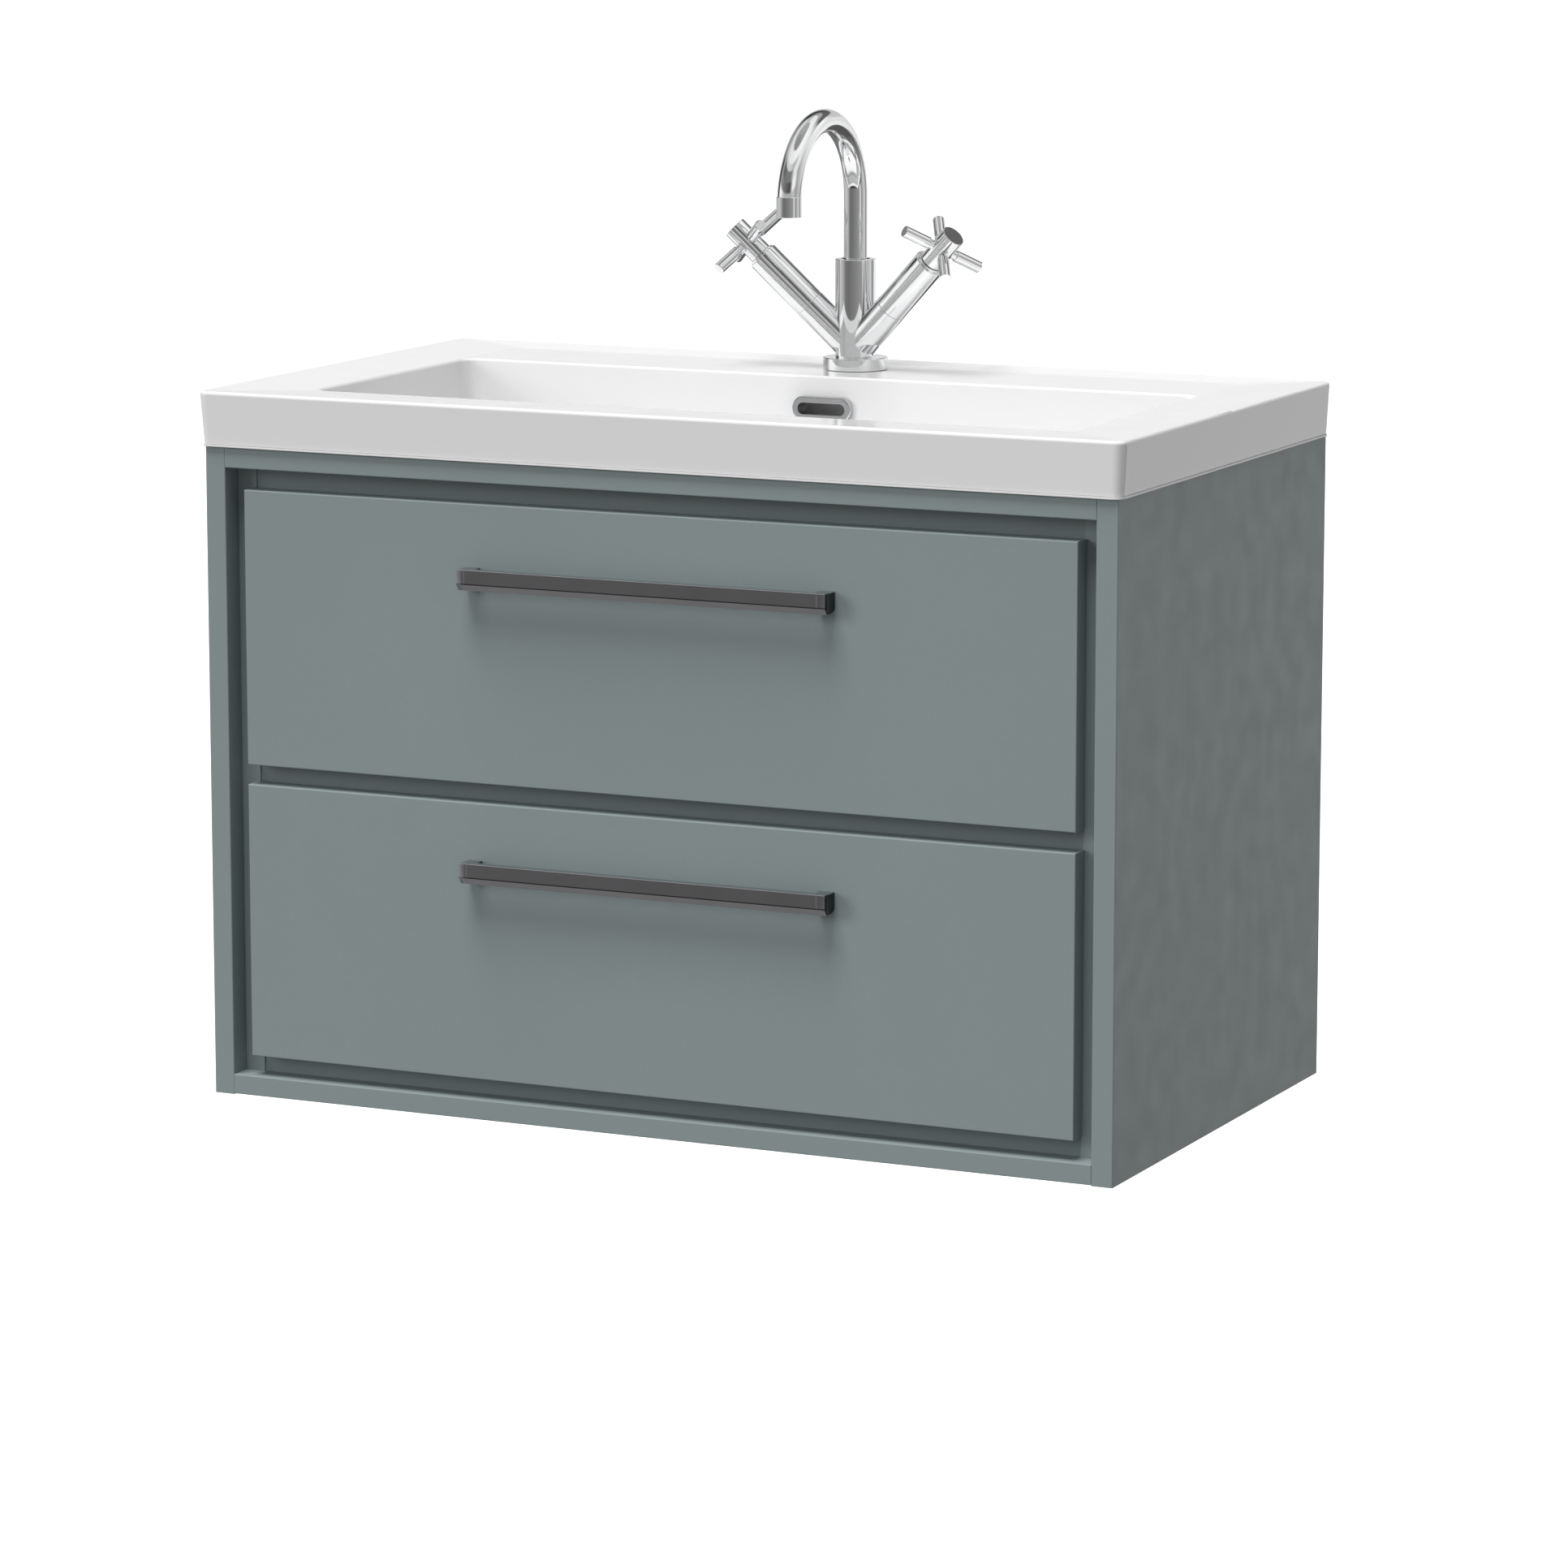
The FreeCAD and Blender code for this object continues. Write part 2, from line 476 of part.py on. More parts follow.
seal_hi = cyl((WX, WY, 426.0 - 8.0), (0, 0, 1), 30.0, 8.0).cut(
    cyl((WX, WY, 410.0), (0, 0, 1), WASTE_R - 0.45, 30.0))
seal_cone = Part.makeCone(WASTE_R + 0.6, WASTE_HOLE_R - 0.2, 3.0, V(WX, WY, 426.0), V(0, 0, 1))
seal_cone = cyl((WX, WY, 426.0), (0, 0, 1), WASTE_HOLE_R - 0.05, 3.0).cut(
    cyl((WX, WY, 420.0), (0, 0, 1), WASTE_R - 0.45, 30.0))
parts["waste_seal"] = seal_hi.fuse(seal_cone).removeSplitter()
nut = cyl((WX, WY, 402.0), (0, 0, 1), 31.0, 16.0)
nut = nut.makeFillet(1.5, [e for e in nut.Edges if on_plane_z(e, 402.0)])
for a in range(0, 360, 45):
    g = cyl((WX + 33.5, WY, 400.0), (0, 0, 1), 5.0, 20.0)
    g.rotate(V(WX, WY, 0), V(0, 0, 1), a)
    nut = nut.cut(g)
nut = nut.cut(cyl((WX, WY, 400.0), (0, 0, 1), WASTE_R - 0.45, 30.0))
parts["waste_backnut"] = nut

pz = BOWL_WASTE_Z + PLUG_TRAVEL + 0.4
plug = cyl((WX, WY, pz), (0, 0, 1), PLUG_R, 5.0)
plug = plug.makeFillet(2.2, [e for e in plug.Edges if on_plane_z(e, pz + 5.0)])
under_plug = cyl((WX, WY, pz), (0, 0, 1), 4.0, 2.0)
plug = plug.cut(under_plug)
parts["waste_plug"] = plug
stem = cyl((WX, WY, 396.0), (0, 0, 1), 4.0, pz + 2.0 - 396.0)
stem = stem.fuse(cyl((WX, WY, 424.0), (0, 0, 1), 8.0, pz - 424.0 - 6.0))
parts["plug_stem"] = stem.removeSplitter()


# ===========================================================================
# tap
# ===========================================================================
def arm_axis(sign):
    """unit vector out along an arm: up, sideways and a little forwards"""
    rise, sweep = math.radians(ARM_RISE), math.radians(ARM_SWEEP)
    return V(sign * math.cos(rise) * math.cos(sweep), -math.cos(rise) * math.sin(sweep), math.sin(rise))


def arm(sign, l0, l1, r):
    """cylinder along one of the two inclined arms, from l0 to l1 along it"""
    u = arm_axis(sign)
    p = (TX + u.x * l0, TY + u.y * l0, V_Z + u.z * l0)
    return cyl(p, (u.x, u.y, u.z), r, l1 - l0)


BZ = DECK_Z + GASKET_T
flange = cyl((TX, TY, BZ), (0, 0, 1), TF_R, TF_H - GASKET_T)
flange = flange.makeFillet(0.9, [e for e in flange.Edges if on_plane_z(e, DECK_Z + TF_H)])
flange = flange.cut(cyl((TX, TY, BZ - 1), (0, 0, 1), COL_R, 20.0))
parts["tap_flange"] = flange
gasket = cyl((TX, TY, DECK_Z), (0, 0, 1), GASKET_R, GASKET_T).cut(cyl((TX, TY, DECK_Z - 1), (0, 0, 1), 16.9, 3.0))
parts["tap_gasket"] = gasket

body = cyl((TX, TY, BZ), (0, 0, 1), COL_R, COL_TOP - BZ)
body = body.makeFillet(0.6, [e for e in body.Edges if on_plane_z(e, COL_TOP)])
for sgn in (-1, 1):
    body = body.fuse(arm(sgn, 0.0, ARM_SEAM, ARM_R))
body = body.cut(box(-60, 60, TY - 40, TY + 40, BZ - 30, BZ))
body = body.removeSplitter()
body = body.cut(cyl((TX, TY, 641.0), (0, 0, 1), PIPE_R + 0.06, 60.0))
body = body.cut(cyl((TX, TY, COL_TOP - 3.0), (0, 0, 1), 12.2, 10.0))
INLET = 8.5
for sx in (-1, 1):
    body = body.cut(cyl((TX + sx * INLET, TY - 4.0, BZ - 1), (0, 0, 1), 4.5, 13.0))
body = body.cut(cyl((TX, TY + 9.5, BZ - 1), (0, 0, 1), 4.0, 13.0))
parts["tap_body"] = body

seal = cyl((TX, TY, COL_TOP - 3.0), (0, 0, 1), 12.15, 2.6).cut(
    cyl((TX, TY, COL_TOP - 5.0), (0, 0, 1), PIPE_R + 0.06, 10.0))
parts["spout_seal_ring"] = seal

stud = cyl((TX, TY + 9.5, 532.0), (0, 0, 1), 4.0, BZ + 12.0 - 532.0)
parts["tap_stud"] = stud
washer = cyl((TX, TY, DECK_Z - DECK_T - 2.5), (0, 0, 1), 22.0, 2.5)
washer = washer.cut(box(-13.5, 13.5, TY - 30, TY + 4.5, 560, 570)).cut(
    cyl((TX, TY + 9.5, 560), (0, 0, 1), 4.0, 12.0))
parts["tap_clamp_washer"] = washer
a = 13.0 / math.sqrt(3.0)
hexw = Part.makePolygon([V(TX + a * math.cos(math.radians(60 * k)), TY + 9.5 + a * math.sin(math.radians(60 * k)),
                           DECK_Z - DECK_T - 9.0) for k in range(7)])
hexn = Part.Face(hexw).extrude(V(0, 0, 6.5)).cut(cyl((TX, TY + 9.5, 550), (0, 0, 1), 4.0, 20.0))
parts["tap_nut"] = hexn

SPINDLE_R = 4.0
for nm, sgn, phase in (("hot", -1, HOT_PHASE), ("cold", 1, COLD_PHASE)):
    sl = arm(sgn, ARM_SEAM, SLEEVE_END, SLEEVE_R)
    ends = [e for e in sl.Edges if e.Curve.TypeId == "Part::GeomCircle"]
    sl = sl.makeFillet(0.5, ends)
    sl = sl.fuse(arm(sgn, SLEEVE_END - 1, SLEEVE_END + 1.5, 11.9)).removeSplitter()
    sl = sl.cut(arm(sgn, ARM_SEAM - 1, SLEEVE_END - 3.0, 9.0))
    sl = sl.cut(arm(sgn, ARM_SEAM - 1, SLEEVE_END + 5.0, 6.0))
    parts[nm + "_valve_sleeve"] = sl
    ct = arm(sgn, ARM_SEAM, SLEEVE_END - 5.0, 9.0).cut(arm(sgn, ARM_SEAM + 12, SLEEVE_END + 5, SPINDLE_R + 0.06))
    parts[nm + "_valve_cartridge"] = ct
    parts[nm + "_spindle"] = arm(sgn, ARM_SEAM + 14.0, HUB_L0 + 20.0, SPINDLE_R)
    hub = arm(sgn, HUB_L0, HUB_L1, HUB_R)
    hub = hub.makeFillet(0.5, [e for e in hub.Edges if e.Curve.TypeId == "Part::GeomCircle"])
    axis = arm_axis(sgn)
    e1 = V(0, -1, 0) + axis * axis.y
    e1.normalize()
    e2 = e1.cross(axis) * sgn
    o = V(TX, TY, V_Z) + axis * CROSS_L
    for k in range(4):
        an = math.radians(phase + 90 * k)
        d = e1 * math.cos(an) + e2 * math.sin(an)
        spoke = Part.makeCylinder(SPOKE_R, SPOKE_TIP - 13.5, o + d * 13.5, d)
        spoke = spoke.makeFillet(0.5, [e for e in spoke.Edges if e.Curve.TypeId == "Part::GeomCircle"])
        neckc = Part.makeCylinder(3.9, 10.0, o + d * 5.0, d)
        hub = hub.fuse(neckc).fuse(spoke)
    hub = hub.removeSplitter()
    hub = hub.cut(arm(sgn, HUB_L0 - 1, HUB_L0 + 20.0, SPINDLE_R))
    parts[nm + "_cross_handle"] = hub


def swan_neck(r):
    z0 = 644.0
    s = cyl((TX, TY, z0), (0, 0, 1), r, SPRING_Z - z0)
    f = Part.Face(Part.Wire(Part.makeCircle(r, V(TX, TY, SPRING_Z), V(0, 0, 1))))
    bend = f.revolve(V(TX, TY - SPOUT_R, SPRING_Z), V(1, 0, 0), 180)
    return s, bend


leg, bend = swan_neck(PIPE_R)
legi, bendi = swan_neck(PIPE_BORE)
hollow = leg.cut(legi)
hollow_bend = bend.cut(bendi)
tube = hollow.fuse(hollow_bend).removeSplitter()
parts["spout_tube"] = tube
leg_front = cyl((TX, TY - 2 * SPOUT_R, SPRING_Z - 5.0), (0, 0, 1), PIPE_R, 5.0)
parts["spout_tube"] = tube.fuse(leg_front.cut(cyl((TX, TY - 2 * SPOUT_R, SPRING_Z - 6.0), (0, 0, 1),
                                                  PIPE_BORE, 8.0))).removeSplitter()
ax = (TX, TY - 2 * SPOUT_R, AER_Z0)
aer = cyl(ax, (0, 0, 1), PIPE_R + 0.5, AER_Z1 - AER_Z0)
aer = aer.makeFillet(0.5, [e for e in aer.Edges if e.Curve.TypeId == "Part::GeomCircle"])
aer = aer.cut(cyl((ax[0], ax[1], AER_Z0 - 1), (0, 0, 1), 8.2, 4.0)).cut(leg_front).cut(bend)
parts["aerator"] = aer

# ===========================================================================
# export, origin at the centre of the wall-fixing hole pattern
# ===========================================================================
os.makedirs("parts", exist_ok=True)
for name in sorted(parts):
    shape = parts[name].copy()
    shape.translate(V(0, -ORIGIN_Y, -ORIGIN_Z))
    if not shape.isValid():
        print("not valid:", name)
    shape.exportStep("parts/" + name + ".step")
print(len(parts), "sub-parts written")
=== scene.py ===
import bpy, bmesh, json, math
from mathutils import Vector, Matrix


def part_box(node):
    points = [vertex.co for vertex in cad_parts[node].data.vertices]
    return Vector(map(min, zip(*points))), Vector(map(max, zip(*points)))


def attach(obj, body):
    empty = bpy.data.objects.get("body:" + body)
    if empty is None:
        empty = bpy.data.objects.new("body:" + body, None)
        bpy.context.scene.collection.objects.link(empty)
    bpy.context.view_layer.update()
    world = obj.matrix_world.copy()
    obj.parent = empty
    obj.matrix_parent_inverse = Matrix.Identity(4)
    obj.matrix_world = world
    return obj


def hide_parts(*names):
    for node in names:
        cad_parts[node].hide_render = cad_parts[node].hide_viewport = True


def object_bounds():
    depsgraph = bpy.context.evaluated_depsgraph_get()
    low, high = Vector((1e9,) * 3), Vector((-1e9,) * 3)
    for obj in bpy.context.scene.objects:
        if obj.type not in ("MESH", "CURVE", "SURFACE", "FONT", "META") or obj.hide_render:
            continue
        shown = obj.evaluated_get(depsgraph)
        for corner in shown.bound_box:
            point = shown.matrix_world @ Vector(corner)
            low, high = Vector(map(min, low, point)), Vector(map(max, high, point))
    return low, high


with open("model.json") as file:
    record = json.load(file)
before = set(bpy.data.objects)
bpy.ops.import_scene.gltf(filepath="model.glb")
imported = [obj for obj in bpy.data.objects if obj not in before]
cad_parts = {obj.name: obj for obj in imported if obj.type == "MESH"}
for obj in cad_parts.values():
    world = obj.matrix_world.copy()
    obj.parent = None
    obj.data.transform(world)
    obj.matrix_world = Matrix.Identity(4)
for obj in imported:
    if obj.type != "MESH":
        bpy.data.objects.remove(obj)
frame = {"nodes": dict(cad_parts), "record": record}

cad_lo, cad_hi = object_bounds()

# ---------------------------------------------------------------------------
# cabinet frame: X = 0 in the middle, Y = 0 at the front edges, Z = 0 underneath
# ---------------------------------------------------------------------------
_lo, _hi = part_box("left_side_panel")
O = Vector((0.0, _lo.y, _lo.z))


def W(x, y, z):
    return O + Vector((x, y, z)) / 1000.0


def srgb(r, g, b):
    out = []
    for v in (r, g, b):
        v /= 255.0
        out.append(v / 12.92 if v <= 0.04045 else ((v + 0.055) / 1.055) ** 2.4)
    return tuple(out) + (1.0,)


# ---------------------------------------------------------------------------
# camera
# ---------------------------------------------------------------------------
cam_data = bpy.data.cameras.new("camera")
cam_data.sensor_fit = "HORIZONTAL"
cam_data.sensor_width = 36.0
cam_data.lens = 146.385
cam_data.clip_end = 500.0
cam = bpy.data.objects.new("camera", cam_data)
bpy.context.scene.collection.objects.link(cam)
cam.location = W(2206.8, -4468.8, 1165.8)
cam.rotation_euler = (math.radians(90.0 - 9.984), 0.0, math.radians(25.04))
bpy.context.scene.camera = cam

scene = bpy.context.scene
scene.view_settings.view_transform = "Standard"
scene.view_settings.look = "None"
scene.view_settings.exposure = 0.0
scene.view_settings.gamma = 1.0


# ---------------------------------------------------------------------------
# materials
# ---------------------------------------------------------------------------
class M:
    """small helper round a node material"""

    def __init__(self, name):
        self.m = bpy.data.materials.new(name)
        self.m.use_nodes = True
        self.t = self.m.node_tree
        self.n = self.t.nodes
        self.bsdf = self.n["Principled BSDF"]
        self.tc = self.n.new("ShaderNodeTexCoord")
        self.normal = None

    def link(self, a, b):
        self.t.links.new(a, b)

    def set(self, **kw):
        for k, v in kw.items():
            self.bsdf.inputs[k.replace("_", " ")].default_value = v

    def mapped(self, scale=(1, 1, 1)):
        if tuple(scale) == (1, 1, 1):
            return self.tc.outputs["Object"]
        mp = self.n.new("ShaderNodeMapping")
        mp.inputs["Scale"].default_value = scale
        self.link(self.tc.outputs["Object"], mp.inputs["Vector"])
        return mp.outputs["Vector"]

    def noise(self, scale, detail=3.0, rough=0.5, stretch=(1, 1, 1)):
        nd = self.n.new("ShaderNodeTexNoise")
        nd.inputs["Scale"].default_value = scale
        nd.inputs["Detail"].default_value = detail
        nd.inputs["Roughness"].default_value = rough
        self.link(self.mapped(stretch), nd.inputs["Vector"])
        return nd.outputs["Fac"]

    def range(self, src, a, b, lo=0.3, hi=0.7):
        r = self.n.new("ShaderNodeMapRange")
        r.inputs["From Min"].default_value = lo
        r.inputs["From Max"].default_value = hi
        r.inputs["To Min"].default_value = a
        r.inputs["To Max"].default_value = b
        self.link(src, r.inputs["Value"])
        return r.outputs["Result"]

    def math(self, op, a, b=None):
        m = self.n.new("ShaderNodeMath")
        m.operation = op
        for i, v in enumerate((a, b)):
            if v is None:
                continue
            if isinstance(v, (int, float)):
                m.inputs[i].default_value = v
            else:
                self.link(v, m.inputs[i])
        return m.outputs[0]

    def mix(self, fac, a, b):
        m = self.n.new("ShaderNodeMix")
        m.data_type = "RGBA"
        for sock, v in ((m.inputs[0], fac), (m.inputs[6], a), (m.inputs[7], b)):
            if isinstance(v, (int, float)):
                sock.default_value = v
            elif isinstance(v, (tuple, list)):
                sock.default_value = v
            else:
                self.link(v, sock)
        return m.outputs[2]

    def bump(self, src, strength, distance):
        b = self.n.new("ShaderNodeBump")
        b.inputs["Strength"].default_value = strength
        b.inputs["Distance"].default_value = distance
        self.link(src, b.inputs["Height"])
        if self.normal is not None:
            self.link(self.normal, b.inputs["Normal"])
        self.normal = b.outputs["Normal"]

    def round_edges(self, radius):
        b = self.n.new("ShaderNodeBevel")
        b.samples = 4
        b.inputs["Radius"].default_value = radius
        self.normal = b.outputs["Normal"]
        return b.outputs["Normal"]

    def edge_mask(self, radius, lo=0.02, hi=0.25):
        """1 along worn edges, 0 on flats"""
        b = self.n.new("ShaderNodeBevel")
        b.samples = 4
        b.inputs["Radius"].default_value = radius
        g = self.n.new("ShaderNodeNewGeometry")
        d = self.n.new("ShaderNodeVectorMath")
        d.operation = "DOT_PRODUCT"
        self.link(b.outputs["Normal"], d.inputs[0])
        self.link(g.outputs["Normal"], d.inputs[1])
        e = self.math("SUBTRACT", 1.0, d.outputs["Value"])
        return self.range(e, 0.0, 1.0, lo, hi)

    def done(self):
        if self.normal is not None:
            self.link(self.normal, self.bsdf.inputs["Normal"])
        return self.m


def tint(c, k):
    return (min(1.0, c[0] * k), min(1.0, c[1] * k), min(1.0, c[2] * k), 1.0)


def paint(name, col, rough=0.42, wear=True, spec=0.4, edge=1.35):
    m = M(name)
    m.set(Metallic=0.0, IOR=1.45)
    m.bsdf.inputs["Specular IOR Level"].default_value = spec
    m.round_edges(0.0006)
    big = m.range(m.noise(5.0, 3.0), 0.0, 1.0)
    fine = m.range(m.noise(220.0, 4.0), 0.0, 1.0)
    c = m.mix(big, tint(col, 0.975), tint(col, 1.02))
    c = m.mix(m.math("MULTIPLY", fine, 0.35), c, tint(col, 0.95))
    if wear:
        e = m.edge_mask(0.0011)
        e = m.math("MULTIPLY", e, m.range(m.noise(60.0, 4.0), 0.25, 0.8))
        c = m.mix(e, c, tint(col, edge))
    m.link(c, m.bsdf.inputs["Base Color"])
    m.link(m.range(m.noise(35.0, 4.0), rough - 0.05, rough + 0.05), m.bsdf.inputs["Roughness"])
    m.bump(m.noise(420.0, 3.0, 0.5), 0.045, 0.0004)
    return m.done()


def metal(name, col, rough, var=0.03, streak=None, bump=0.0, edge=None, round_r=0.0003, spread=0.02, painted_end_shade=0.0):
    m = M(name)
    m.set(Metallic=1.0)
    m.round_edges(round_r)
    f = m.range(m.noise(28.0, 4.0), 0.0, 1.0)
    c = m.mix(f, tint(col, 1.0 - var), tint(col, 1.0 + var))
    if edge:
        c = m.mix(m.math("MULTIPLY", m.edge_mask(0.0007), 0.6), c, tint(col, edge))
    if painted_end_shade:
        # painted shade: faces turned along X (the bar ends) are darkened almost to black in colour, standing in for
        # their dark reflection
        sx = m.n.new("ShaderNodeSeparateXYZ")
        m.link(m.tc.outputs["Normal"], sx.inputs[0])
        side = m.range(m.math("ABSOLUTE", sx.outputs[0]), 0.0, painted_end_shade, 0.75, 0.95)
        c = m.mix(m.math("MULTIPLY", side, m.range(m.noise(120.0, 3.0), 0.9, 1.0)), c, tint(col, 0.06))
    m.link(c, m.bsdf.inputs["Base Color"])
    st = streak or (1, 1, 1)
    m.link(m.range(m.noise(90.0, 5.0, 0.6, st), max(0.01, rough - spread), rough + spread), m.bsdf.inputs["Roughness"])
    if bump:
        m.bump(m.noise(300.0, 3.0, 0.5, st), bump, 0.0002)
    return m.done()


def plain(name, col, rough, metallic=0.0, grain=300.0, bump=0.1, spec=0.5, var=0.05):
    m = M(name)
    m.set(Metallic=metallic)
    m.bsdf.inputs["Specular IOR Level"].default_value = spec
    m.round_edges(0.0004)
    c = m.mix(m.range(m.noise(40.0, 4.0), 0.0, 1.0), tint(col, 1 - var), tint(col, 1 + var))
    m.link(c, m.bsdf.inputs["Base Color"])
    m.link(m.range(m.noise(80.0, 3.0), rough - 0.06, min(1.0, rough + 0.06)), m.bsdf.inputs["Roughness"])
    m.bump(m.noise(grain, 4.0), bump, 0.0003)
    return m.done()


PAINT = (0.262, 0.308, 0.312)
mats = {
    "lacquered_board": paint("grey_green_lacquer", PAINT),
    # painted shade: the recessed boards get a darker copy of the same lacquer, standing in for the shade in the gaps
    # behind the drawer fronts
    "recess_board": paint("grey_green_lacquer_painted_recess_shade", (0.245, 0.288, 0.292), wear=False),
    "raw_board": plain("melamine_board", (0.60, 0.60, 0.57), 0.5, grain=900.0, bump=0.06),
    "chrome": metal("polished_chrome", (0.865, 0.868, 0.875), 0.030, spread=0.010, var=0.012),
    # the gunmetal bars get painted shade on their end faces through painted_end_shade
    "gunmetal_chrome": metal("gunmetal_chrome", (0.44, 0.435, 0.45), 0.06, edge=1.3, spread=0.02, var=0.04, painted_end_shade=1.0),
    "zinc_steel": metal("zinc_steel", (0.56, 0.57, 0.60), 0.34, streak=(1, 12, 1), bump=0.08, var=0.06, spread=0.06),
    "grey_painted_steel": paint("grey_powder_coat", (0.30, 0.31, 0.32), rough=0.5, edge=1.2),
    "grey_plastic": plain("grey_moulded_plastic", (0.20, 0.205, 0.21), 0.5, bump=0.12),
    "brass": metal("turned_brass", (0.72, 0.52, 0.24), 0.28, streak=(1, 1, 14), bump=0.06, var=0.06, spread=0.05),
    "black_rubber": plain("black_rubber", (0.02, 0.02, 0.021), 0.65, bump=0.2, spec=0.35),
}


def glaze(name, col=(0.83, 0.83, 0.83)):
    m = M(name)
    m.set(Metallic=0.0, IOR=1.5)
    m.bsdf.inputs["Specular IOR Level"].default_value = 0.5
    m.bsdf.inputs["Coat Weight"].default_value = 0.25
    m.bsdf.inputs["Coat Roughness"].default_value = 0.04
    m.round_edges(0.0008)
    c = m.mix(m.range(m.noise(3.5, 3.0), 0.0, 1.0), tint(col, 0.992), tint(col, 1.006))
    speck = m.range(m.noise(900.0, 2.0, 0.7), 0.0, 0.02, 0.72, 0.8)
    c = m.mix(speck, c, (0.55, 0.55, 0.54, 1.0))
    m.link(c, m.bsdf.inputs["Base Color"])
    m.link(m.range(m.noise(20.0, 3.0), 0.07, 0.13), m.bsdf.inputs["Roughness"])
    m.bump(m.noise(14.0, 2.0), 0.02, 0.002)
    return m.done()


mats["glazed_ceramic"] = glaze("gloss_white_glaze")

node_slot = {s["node"]: s["material_slot"] for s in frame["record"]["subparts"]}
for node, ob in frame["nodes"].items():
    mt = mats[node_slot[node]]
    if not ob.material_slots:
        ob.data.materials.append(mt)
    for sl in ob.material_slots:
        sl.material = mt

# painted shade: the overflow ring gets a darker copy of the chrome colour, with a little more roughness, standing in
# for the shade on the ring
mats["satin_chrome_painted_shade"] = metal("satin_chrome_painted_shade", (0.60, 0.605, 0.615), 0.09, spread=0.02, var=0.02, round_r=0.0006)
for sl in frame["nodes"]["overflow_ring"].material_slots:
    sl.material = mats["satin_chrome_painted_shade"]


# ---------------------------------------------------------------------------
# pieces built here: the bar handles with their rolled lower edge
# ---------------------------------------------------------------------------
def mesh_object(name, bm, mat, smooth_angle=30.0):
    bmesh.ops.recalc_face_normals(bm, faces=bm.faces[:])
    me = bpy.data.meshes.new(name)
    bm.to_mesh(me)
    bm.free()
    for p in me.polygons:
        p.use_smooth = True
    me.set_sharp_from_angle(angle=math.radians(smooth_angle))
    me.materials.append(mat)
    ob = bpy.data.objects.new(name, me)
    scene.collection.objects.link(ob)
    return ob


def arc2(c, r, a0, a1, n):
    return [(c[0] + r * math.cos(math.radians(a0 + (a1 - a0) * k / n)),
             c[1] + r * math.sin(math.radians(a0 + (a1 - a0) * k / n))) for k in range(n + 1)]


def rounded(poly, radii, n=6):
    """closed 2-D polygon with each corner turned into an arc"""
    out = []
    m = len(poly)
    for i, (p, r) in enumerate(zip(poly, radii)):
        p = Vector(p)
        a = (Vector(poly[i - 1]) - p).normalized()
        b = (Vector(poly[(i + 1) % m]) - p).normalized()
        if r <= 0:
            out.append(tuple(p))
            continue
        half = math.acos(max(-1.0, min(1.0, a.dot(b)))) / 2
        d = r / math.tan(half)
        c = p + (a + b).normalized() * (r / math.sin(half))
        t0, t1 = p + a * d - c, p + b * d - c
        for k in range(n + 1):
            v = t0.slerp(t1, k / n) if t0.angle(t1) > 1e-4 else t0
            out.append(tuple(c + v.normalized() * r))
    return out


def sweep(bm, rings):
    """closed shell through equal rings of points, capped at both ends"""
    rows_ = [[bm.verts.new(W(*p)) for p in ring] for ring in rings]
    for r0, r1 in zip(rows_, rows_[1:]):
        k = len(r0)
        for i in range(k):
            bm.faces.new((r0[i], r0[(i + 1) % k], r1[(i + 1) % k], r1[i]))
    bm.faces.new(rows_[0][::-1])
    bm.faces.new(rows_[-1])


def inset(poly, d):
    """the same outline drawn in by about d towards its middle"""
    cy = sum(p[0] for p in poly) / len(poly)
    cz = sum(p[1] for p in poly) / len(poly)
    hy = max(abs(p[0] - cy) for p in poly)
    hz = max(abs(p[1] - cz) for p in poly)
    return [(cy + (p[0] - cy) * (1 - d / hy), cz + (p[1] - cz) * (1 - d / hz)) for p in poly]


def bar_piece(name, node, body):
    lo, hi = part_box(node)
    lo, hi = (lo - O) * 1000.0, (hi - O) * 1000.0
    y0, z0, z1 = lo.y, lo.z, hi.z
    half = hi.x
    bm = bmesh.new()
    prof = rounded([(y0 + 8.0, z1), (y0 + 0.3, z1), (y0, z1 - 0.3), (y0, z0 + 5.2), (y0 + 4.2, z0), (y0 + 8.0, z0)],
                   [0.3, 0.0, 0.0, 3.2, 0.0, 0.3], 8)
    rings = []
    for x, d in ((-half, 0.55), (-half + 0.16, 0.22), (-half + 0.55, 0.0), (-half + 7.0, 0.0), (-half + 7.25, 0.22),
                 (-half + 7.5, 0.0)):
        rings.append((x, d))
    rings += [(-half + 7.5 + (2 * half - 15.0) * k / 12, 0.0) for k in range(1, 12)]
    rings += [(-x, d) for x, d in reversed([(-half, 0.55), (-half + 0.16, 0.22), (-half + 0.55, 0.0), (-half + 7.0, 0.0),
                                            (-half + 7.25, 0.22), (-half + 7.5, 0.0)])]
    sweep(bm, [[(x, p[0], p[1]) for p in (inset(prof, d) if d else prof)] for x, d in rings])
    leg = rounded([(y0 + 7.0, z1 - 0.15), (hi.y, z1 - 0.15), (hi.y, z0 + 3.4), (hi.y - 1.6, z0 + 1.6), (hi.y - 6.5, z0 + 0.15),
                   (y0 + 7.0, z0 + 0.15)], [0.2, 0.3, 1.2, 1.2, 2.0, 0.2], 4)
    for sx in (-1, 1):
        xs = sorted((sx * (half - 0.02), sx * (half - 12.0)))
        sweep(bm, [[(x, p[0], p[1]) for p in (inset(leg, d) if d else leg)]
                   for x, d in ((xs[0], 0.4), (xs[0] + 0.4, 0.0), (xs[1] - 0.4, 0.0), (xs[1], 0.4))])
    ob = mesh_object(name, bm, mats["gunmetal_chrome"])
    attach(ob, body)
    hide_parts(node)
    return ob


bar_piece("upper_bar_shell", "upper_bar_handle", "upper_drawer")
bar_piece("lower_bar_shell", "lower_bar_handle", "lower_drawer")

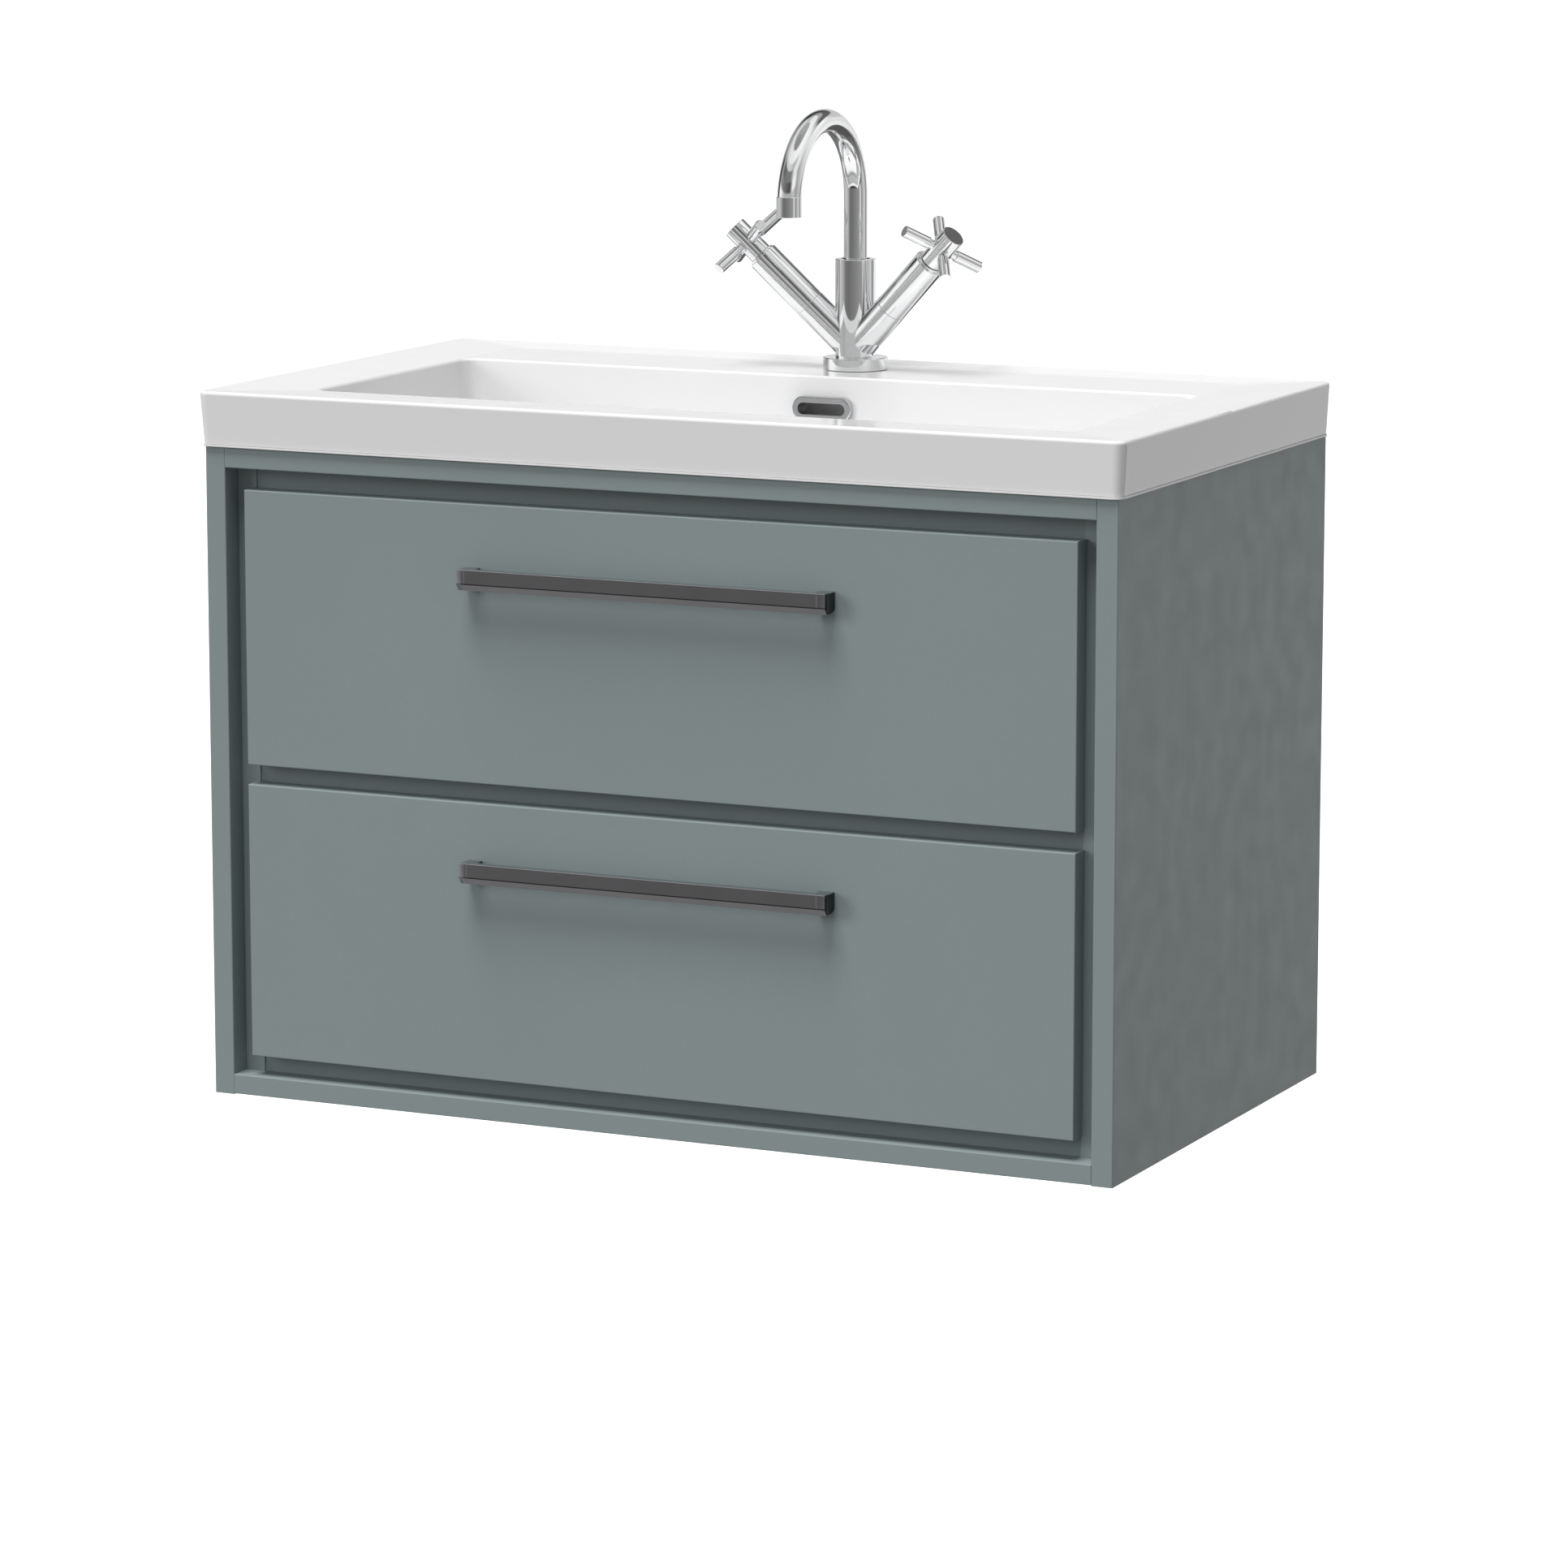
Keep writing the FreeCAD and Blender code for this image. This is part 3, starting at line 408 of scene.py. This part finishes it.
# ---------------------------------------------------------------------------
# floor, light
# ---------------------------------------------------------------------------
fl_z = cad_lo[2] - 1.20
me = bpy.data.meshes.new("floor")
R = 160.0
me.from_pydata([(-R, -R, fl_z), (R, -R, fl_z), (R, R, fl_z), (-R, R, fl_z)], [], [(0, 1, 2, 3)])
floor = bpy.data.objects.new("floor", me)
scene.collection.objects.link(floor)
fm = M("pale_floor")
fm.bsdf.inputs["Specular IOR Level"].default_value = 0.0
fm.set(Roughness=0.9)
fm.bsdf.inputs["Emission Color"].default_value = (1, 1, 1, 1)
fm.bsdf.inputs["Emission Strength"].default_value = 0.08
fm.link(fm.mix(fm.range(fm.noise(2.0), 0.0, 1.0), (0.97, 0.97, 0.97, 1), (0.985, 0.985, 0.985, 1)), fm.bsdf.inputs["Base Color"])
me.materials.append(fm.done())
floor.visible_diffuse = False
floor.visible_glossy = False


def sun(name, direction, strength, angle):
    d = bpy.data.lights.new(name, "SUN")
    d.energy = strength
    d.angle = math.radians(angle)
    o = bpy.data.objects.new(name, d)
    scene.collection.objects.link(o)
    o.rotation_euler = Vector(direction).to_track_quat("-Z", "Y").to_euler()
    o.visible_glossy = False
    return o


# light travels along these directions
sun("key", (0.08, 0.30, -0.955), 3.05, 28.0)
sun("fill", (0.62, 0.72, -0.30), 0.85, 25.0)

world = bpy.data.worlds.new("studio")
scene.world = world
world.use_nodes = True
wt = world.node_tree
wn = wt.nodes
bg = wn["Background"]
out = wn["World Output"]
bg.inputs["Color"].default_value = (1, 1, 1, 1)
bg.inputs["Strength"].default_value = 0.32

tcw = wn.new("ShaderNodeTexCoord")
sep = wn.new("ShaderNodeSeparateXYZ")
wt.links.new(tcw.outputs["Generated"], sep.inputs[0])


def wmath(op, a, b=None):
    m = wn.new("ShaderNodeMath")
    m.operation = op
    for i, v in enumerate((a, b)):
        if v is None:
            continue
        if isinstance(v, (int, float)):
            m.inputs[i].default_value = v
        else:
            wt.links.new(v, m.inputs[i])
    return m.outputs[0]


def ramp(src, stops):
    r = wn.new("ShaderNodeValToRGB")
    cr = r.color_ramp
    for i, (p, v) in ((0, stops[0]), (1, stops[-1])):
        cr.elements[i].position = p
        cr.elements[i].color = (v, v, v, 1)
    for p, v in stops[1:-1]:
        cr.elements.new(p).color = (v, v, v, 1)
    wt.links.new(src, r.inputs[0])
    return r.outputs[0]


# azimuth 0..1, 0.5 towards -Y (the front), rising towards +X; elevation 0..1 over -90..90 degrees
azr = wmath("ARCTAN2", sep.outputs[0], wmath("MULTIPLY", sep.outputs[1], -1.0))
az = wmath("ADD", wmath("DIVIDE", azr, 2 * math.pi), 0.5)
el = wmath("ADD", wmath("DIVIDE", wmath("ARCSINE", sep.outputs[2]), math.pi), 0.5)


def around(stops):
    return ramp(az, [((d + 180.0) / 360.0, v) for d, v in stops])


def level(d0, d1):
    """0 below elevation d0, 1 above d1"""
    r = wn.new("ShaderNodeMapRange")
    r.interpolation_type = "SMOOTHSTEP"
    r.inputs["From Min"].default_value = (d0 + 90.0) / 180.0
    r.inputs["From Max"].default_value = (d1 + 90.0) / 180.0
    wt.links.new(el, r.inputs["Value"])
    return r.outputs["Result"]


def blend2(fac, a, b):
    m = wn.new("ShaderNodeMix")
    m.data_type = "RGBA"
    wt.links.new(fac, m.inputs[0])
    wt.links.new(a, m.inputs[6])
    wt.links.new(b, m.inputs[7])
    return m.outputs[2]


rows = [
    (-90.0, [(-180, 0.26), (-60, 0.30), (30, 0.24), (180, 0.26)]),
    (-50.0, [(-180, 0.10), (-70, 0.30), (-34, 0.05), (70, 0.05), (100, 0.30), (140, 0.10), (180, 0.10)]),
    (-17.0, [(-180, 0.90), (-160, 0.57), (-127, 0.45), (-91, 0.57), (-68, 0.60), (-50, 0.42), (-33, 0.19), (-14, 0.17), (0, 0.20),
             (25, 0.25), (53, 0.32), (62, 0.38), (67, 0.90), (72, 0.80), (78, 0.34), (86, 0.34), (100, 0.50), (118, 0.70), (134, 0.30),
             (144, 0.34), (151, 0.92), (180, 1.05)]),
    (-0.5, [(-180, 0.78), (-160, 0.74), (-145, 0.70), (-129, 0.50), (-116, 0.28), (-106, 0.14), (-99, 0.02), (-92, 0.02), (-87, 0.45), (-81, 0.85),
            (-75, 1.05), (-59, 1.00), (-44, 0.60), (-20, 0.46), (11, 0.50), (30, 0.45), (60, 0.60), (84, 0.36), (97, 0.45),
            (120, 0.62), (143, 0.95), (152, 0.84), (180, 0.78)]),
    (12.0, [(-180, 0.60), (-150, 0.62), (-129, 0.45), (-116, 0.28), (-106, 0.16), (-100, 0.01), (-92, 0.01), (-87, 0.40), (-76, 0.32),
            (-50, 0.24), (-10, 0.14), (23, 0.07), (34, 0.25), (48, 0.95), (70, 0.95), (84, 0.40), (100, 0.50), (122, 0.80), (145, 1.10),
            (160, 0.62), (180, 0.60)]),
    (25.0, [(-180, 0.12), (-155, 0.04), (-140, 0.03), (-120, 0.30), (-90, 0.50), (-61, 0.12), (-25, 0.22), (16, 0.20), (32, 0.35),
            (50, 0.85), (120, 0.85), (134, 0.60), (143, 0.10), (152, 0.14), (166, 0.13), (180, 0.12)]),
    (39.0, [(-180, 0.40), (-156, 0.12), (-146, 0.02), (-134, 0.30), (-80, 0.70), (0, 0.70), (40, 0.50), (68, 0.68), (77, 0.95),
            (125, 1.00), (140, 0.55), (152, 0.35), (170, 0.50), (180, 0.40)]),
    (48.0, [(-180, 0.90), (-160, 0.50), (-145, 0.75), (0, 0.92), (100, 1.05), (180, 0.90)]),
    (66.0, [(-180, 0.45), (0, 0.28), (180, 0.45)]),
]
env = around(rows[0][1])
for (lo_el, _), (hi_el, stops) in zip(rows, rows[1:]):
    env = blend2(level(hi_el - 2.0, hi_el + 2.0), env, around(stops))
bg2 = wn.new("ShaderNodeBackground")
wt.links.new(env, bg2.inputs["Color"])
bg2.inputs["Strength"].default_value = 1.0
bg3 = wn.new("ShaderNodeBackground")
bg3.inputs["Color"].default_value = (1, 1, 1, 1)
bg3.inputs["Strength"].default_value = 1.0
lp = wn.new("ShaderNodeLightPath")
mx1 = wn.new("ShaderNodeMixShader")
mx2 = wn.new("ShaderNodeMixShader")
wt.links.new(lp.outputs["Is Glossy Ray"], mx1.inputs[0])
wt.links.new(bg.outputs[0], mx1.inputs[1])
wt.links.new(bg2.outputs[0], mx1.inputs[2])
wt.links.new(lp.outputs["Is Camera Ray"], mx2.inputs[0])
wt.links.new(mx1.outputs[0], mx2.inputs[1])
wt.links.new(bg3.outputs[0], mx2.inputs[2])
wt.links.new(mx2.outputs[0], out.inputs[0])
